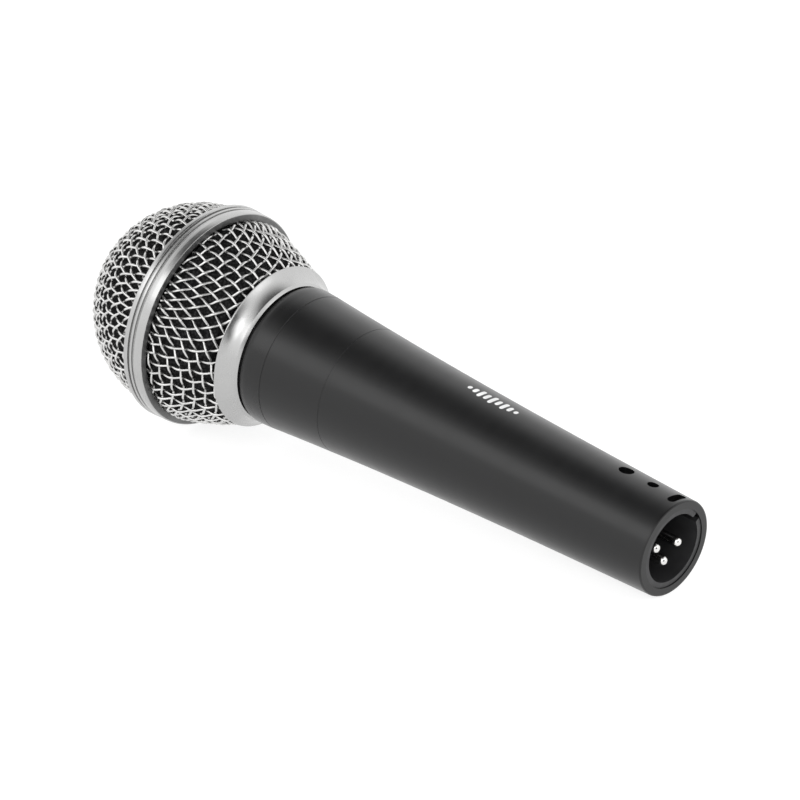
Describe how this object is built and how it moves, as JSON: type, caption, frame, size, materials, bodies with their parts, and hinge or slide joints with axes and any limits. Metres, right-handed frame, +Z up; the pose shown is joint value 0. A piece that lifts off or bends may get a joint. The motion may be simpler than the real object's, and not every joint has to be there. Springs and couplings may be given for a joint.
{
  "type": "dynamic microphone",
  "caption": "Handheld dynamic vocal microphone: tapered black handle, silver ball grille of woven wire over foam, moving-coil capsule on rubber mounts and a pin connector in the tail.",
  "frame": {"origin": "on the surface that the microphone lies on, under the middle of its bounding box", "axes": "+Z up from that surface; the tail with the connector points to +X and the grille to -X, with the axis tilted up 6.1 degrees towards the grille"},
  "size_m": [0.1672, 0.0524, 0.0524],
  "materials": {
    "handle_paint": "satin",
    "insert_plastic": "satin",
    "contact_silver": "polished",
    "screw_steel": "satin",
    "spring_brass": "satin",
    "lead_red": "satin",
    "lead_white": "satin",
    "mount_rubber": "matte",
    "capsule_plastic": "satin",
    "chamber_metal": "satin",
    "board_fibre": "matte",
    "lug_tin": "satin",
    "motor_steel": "satin",
    "magnet_nickel": "satin",
    "coil_copper": "satin",
    "film_clear": "gloss",
    "clamp_brass": "satin",
    "screen_mesh": "satin",
    "foam_black": "matte",
    "satin_nickel": "satin",
    "mesh_wire": "satin"
  },
  "bodies": {
    "handle": {"handle_body": "handle_paint", "neck_ring": "handle_paint", "connector_insert": "insert_plastic", "contact_pin_1": "contact_silver", "contact_pin_2": "contact_silver", "contact_pin_3": "contact_silver", "set_screw": "screw_steel", "ground_spring": "spring_brass", "lead_hot": "lead_red", "lead_cold": "lead_white", "shock_mount_front": "mount_rubber", "shock_mount_rear": "mount_rubber"},
    "capsule": {"capsule_housing": "capsule_plastic", "rear_chamber": "chamber_metal", "terminal_board": "board_fibre", "solder_lugs": "lug_tin", "magnet_cup": "motor_steel", "magnet": "magnet_nickel", "pole_plate": "motor_steel", "clamp_ring": "clamp_brass", "capsule_cap": "capsule_plastic", "front_screen": "screen_mesh"},
    "moving_coil": {"diaphragm": "film_clear", "voice_coil": "coil_copper"},
    "foam_liner": {"foam_dome": "foam_black", "foam_cone": "foam_black"},
    "grille": {"grille_collar": "satin_nickel", "cone_mesh": "mesh_wire", "grille_band": "satin_nickel", "band_inner_ring": "satin_nickel", "dome_mesh": "mesh_wire"}
  },
  "joints": [
    {"name": "grille_lift", "type": "slide", "parent": "handle", "child": "foam_liner", "axis": [-0.9943, 0, 0.1063], "range_m": [0, 0.00501]},
    {"name": "grille_unscrew", "type": "hinge", "parent": "foam_liner", "child": "grille", "pos_m": [-0.03395, 0, 0.02378], "axis": [-0.9943, 0, 0.1063], "range_deg": [0, 1440]},
    {"name": "capsule_float", "type": "slide", "parent": "handle", "child": "capsule", "axis": [-0.9943, 0, 0.1063], "range_m": [-0.0008, 0.0008], "stiffness_N_per_m": 3000, "deforming": ["shock_mount_front", "shock_mount_rear", "lead_hot", "lead_cold"]},
    {"name": "diaphragm_travel", "type": "slide", "parent": "capsule", "child": "moving_coil", "axis": [-0.9943, 0, 0.1063], "range_m": [-0.0003, 0.0003], "stiffness_N_per_m": 200, "deforming": ["diaphragm"]}
  ],
  "couplings": [
    {"joint": "grille_lift", "follows": "grille_unscrew", "m_per_rad": 0.00019894}
  ]
}
